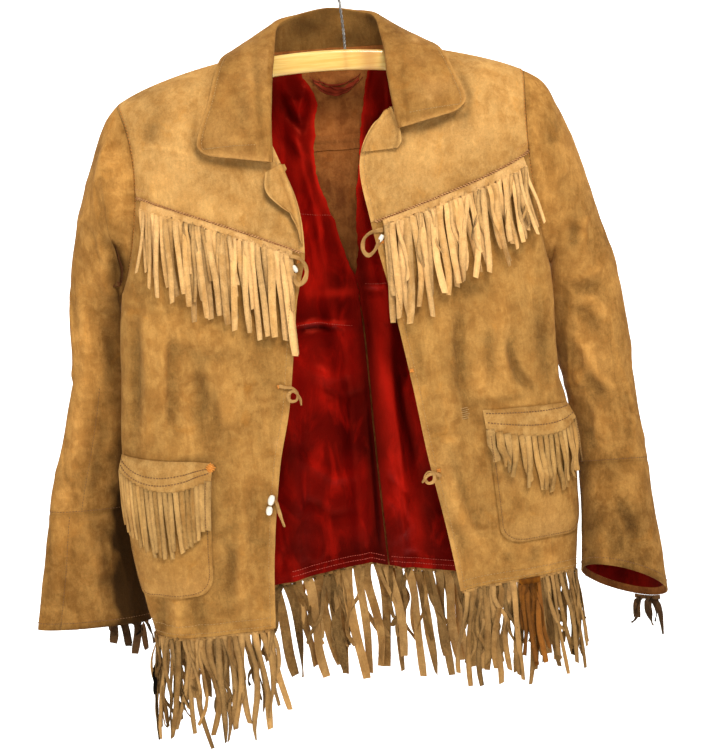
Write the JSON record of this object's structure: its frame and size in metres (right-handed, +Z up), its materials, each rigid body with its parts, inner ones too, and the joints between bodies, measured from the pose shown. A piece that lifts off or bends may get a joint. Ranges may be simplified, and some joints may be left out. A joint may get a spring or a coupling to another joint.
{
  "type": "fringed buckskin jacket on a hanger",
  "caption": "Fringed tan buckskin jacket with yokes, pocket flaps, a turned collar and a red satin back lining, hanging open on a wooden hanger with a wire hook.",
  "frame": {"origin": "inner top of the hanger's hook, where it sits on a rail", "axes": "+Z up, +X to the viewer's right, +Y towards the back of the jacket; its open front faces -Y"},
  "size_m": [0.6691, 0.1315, 0.8088],
  "materials": {
    "suede": "brushed suede",
    "suede_light": "brushed suede",
    "suede_dark": "worn suede",
    "orange": "dyed suede",
    "satin": "satin",
    "bead": "satin",
    "wood": "varnished",
    "wire": "satin"
  },
  "bodies": {
    "root": {"hanger_bar": "wood", "hanger_hook": "wire", "back_yoke": "suede_light", "back_panel": "suede", "collar": "suede_light", "hem_fringe_back": "suede", "hem_fringe_orange": "orange", "yoke_right": "suede_light", "front_right": "suede", "lapel_right": "suede_light", "sleeve_right_front": "suede_dark", "sleeve_right_back": "suede_dark", "cuff_right": "suede_dark", "pocket_right": "suede", "pocket_fringe_right": "suede_light", "yoke_fringe_right": "suede_light", "hem_fringe_right": "suede", "cuff_fringe_right": "suede_dark", "lining_back_right": "satin", "lining_cuff_right": "satin", "yoke_left": "suede_light", "front_left": "suede", "lapel_left": "suede_light", "sleeve_left_front": "suede_dark", "sleeve_left_back": "suede_dark", "cuff_left": "suede_dark", "pocket_left": "suede", "pocket_fringe_left": "suede_light", "yoke_fringe_left": "suede_light", "hem_fringe_left": "suede", "cuff_fringe_left": "suede_dark", "lining_back_left": "satin", "lining_cuff_left": "satin", "tie_right_top": "suede_light", "tie_right_mid": "suede_light", "tie_right_low": "suede_light", "tie_left_top": "suede_light", "tie_left_low": "suede_light", "bead_right_top": "bead", "bead_right_low_1": "bead", "bead_right_low_2": "bead", "bead_left_top": "bead"}
  },
  "joints": []
}
